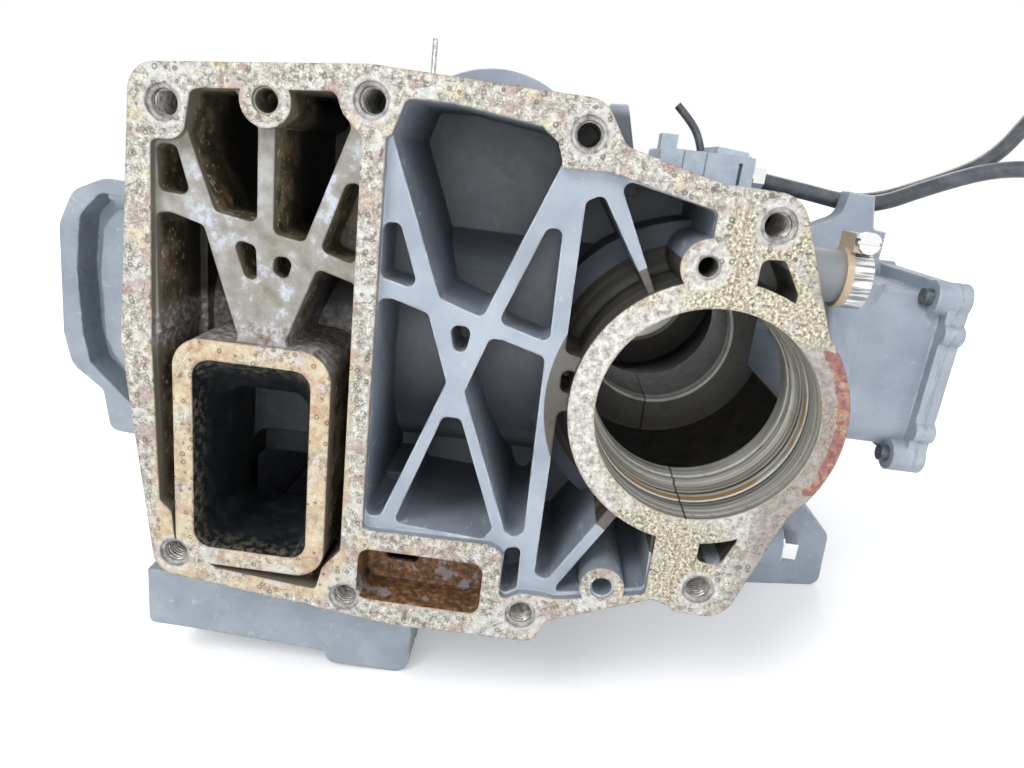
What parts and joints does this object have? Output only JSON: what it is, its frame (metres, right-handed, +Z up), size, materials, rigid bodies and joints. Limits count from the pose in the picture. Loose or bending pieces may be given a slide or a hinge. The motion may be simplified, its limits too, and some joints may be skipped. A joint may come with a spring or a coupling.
{
  "type": "outboard cylinder block",
  "caption": "Bare cylinder block and crankcase of an outboard engine, lying with its ribbed lower mounting face, crank bore and exhaust duct open to the front.",
  "frame": {"origin": "centre of the crankshaft bore in the plane of the lower mounting face", "axes": "+Y along the crankshaft, from the lower face into the block; +Z up as it lies; +X towards the intake side"},
  "size_m": [0.504, 0.294, 0.2411],
  "materials": {
    "painted_casting": "satin paint",
    "bare_iron": "honed",
    "gasket": "matte",
    "plain_steel": "worn zinc",
    "bright_steel": "polished",
    "grey_hose": "matte",
    "dark_hose": "satin",
    "plate_aluminium": "as cast"
  },
  "bodies": {
    "root": {"cylinder_block": "painted_casting", "crankcase_half": "painted_casting", "lower_liner": "bare_iron", "upper_liner": "bare_iron", "head_gasket": "gasket", "cylinder_head": "painted_casting", "head_bolts": "plain_steel", "exhaust_gasket": "gasket", "exhaust_baffle": "plate_aluminium", "exhaust_cover": "painted_casting", "exhaust_cover_bolts": "plain_steel", "intake_gasket": "gasket", "reed_plate": "plate_aluminium", "intake_bolts": "plain_steel", "foot_bolts": "bright_steel", "crankcase_bolts": "plain_steel", "alignment_pins": "plain_steel", "hose_nipple": "plain_steel", "joint_hose": "grey_hose", "hose_clamp": "plain_steel", "clamp_screw": "bright_steel", "coil_bracket": "plate_aluminium", "bracket_bolt": "bright_steel", "link_rod": "plain_steel", "long_hose": "dark_hose", "branch_hose": "dark_hose", "thin_hose": "dark_hose"}
  },
  "joints": []
}
